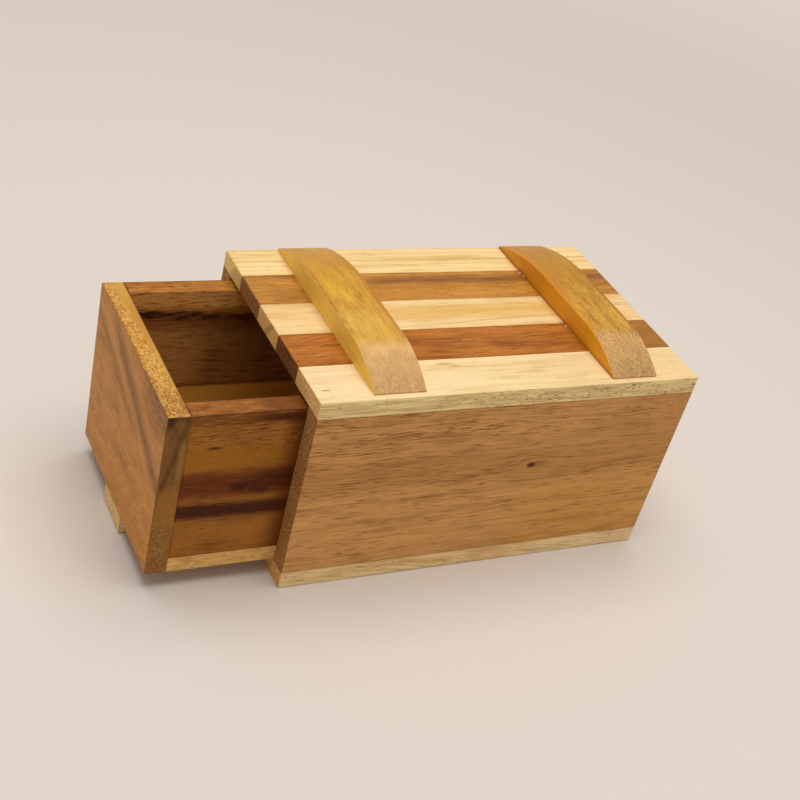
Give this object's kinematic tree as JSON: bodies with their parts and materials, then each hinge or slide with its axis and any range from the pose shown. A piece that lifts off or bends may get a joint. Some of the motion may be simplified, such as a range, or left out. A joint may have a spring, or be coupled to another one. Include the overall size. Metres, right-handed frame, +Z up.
{
  "type": "treasure chest box",
  "caption": "Rectangular wooden keepsake box with a striped lid board, two arched straps across it, and a drawer that slides out of one end on a middle slat in the base.",
  "frame": {"origin": "centre of the underside of the box's bounding box with the drawer in its rest position, on the surface the box stands on", "axes": "+X along the box from the drawer's mouth to the closed end, so the drawer opens towards -X; +Y from the front to the back; +Z up"},
  "size_m": [0.2218, 0.1044, 0.0984],
  "materials": {
    "light_wood": "satin oiled",
    "brown_wood": "satin oiled",
    "red_brown_wood": "satin oiled",
    "golden_wood": "satin oiled",
    "case_wood": "satin oiled",
    "streaked_wood": "satin oiled"
  },
  "bodies": {
    "case": {"lid_strip_back": "light_wood", "lid_strip_mid_back": "brown_wood", "lid_strip_middle": "light_wood", "lid_strip_mid_front": "red_brown_wood", "lid_strip_front": "light_wood", "strap_left": "golden_wood", "strap_right": "golden_wood", "case_side_front": "case_wood", "case_side_back": "case_wood", "case_end_panel": "case_wood", "base_board_front": "light_wood", "base_board_back": "light_wood"},
    "drawer": {"drawer_face": "streaked_wood", "drawer_back": "streaked_wood", "drawer_side_front": "streaked_wood", "drawer_side_back": "streaked_wood", "drawer_floor": "light_wood", "drawer_runner": "light_wood"}
  },
  "joints": [
    {"name": "drawer_slide", "type": "slide", "parent": "case", "child": "drawer", "axis": [-1, 0, 0], "range_m": [-0.0518, 0.0682]}
  ]
}
